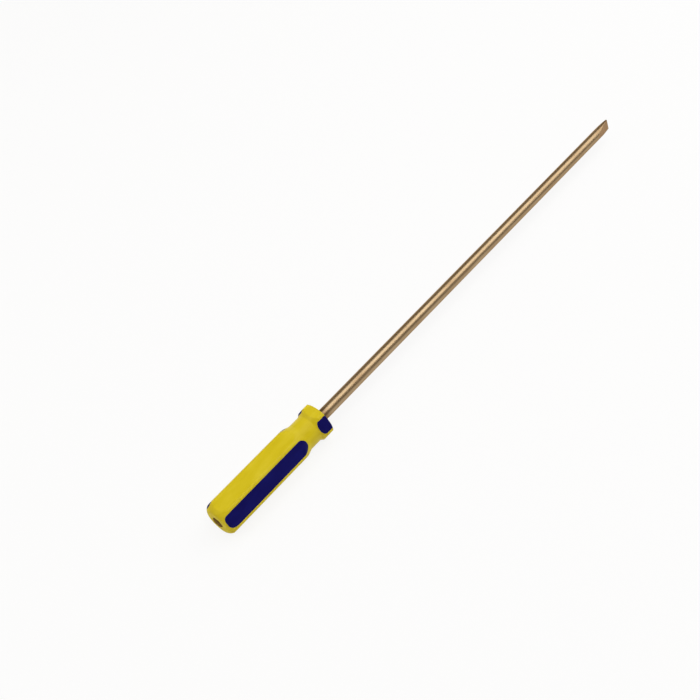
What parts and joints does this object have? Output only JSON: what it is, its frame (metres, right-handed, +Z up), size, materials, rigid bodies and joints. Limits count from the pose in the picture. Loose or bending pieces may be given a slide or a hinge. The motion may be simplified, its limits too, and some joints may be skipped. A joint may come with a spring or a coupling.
{
  "type": "strike-through screwdriver",
  "caption": "Long slotted screwdriver: a round copper-alloy shank runs right through a hexagonal two-colour plastic handle to a strike end at the butt.",
  "frame": {"origin": "centre of the strike face, where the shank ends at the handle's butt", "axes": "+X along the shank towards the tip, +Z up with one yellow flat of the handle facing up and one navy flat facing down"},
  "size_m": [0.4445, 0.0268, 0.024],
  "materials": {
    "shank": "drawn and lightly polished copper alloy",
    "handle": "satin yellow moulded plastic",
    "inlay": "satin navy moulded plastic"
  },
  "bodies": {
    "root": {"through_shank": "shank", "handle_body": "handle", "grip_inlay_left": "inlay", "grip_inlay_right": "inlay", "grip_inlay_bottom": "inlay", "collar_inlay_left": "inlay", "collar_inlay_right": "inlay", "collar_inlay_bottom": "inlay"}
  },
  "joints": []
}
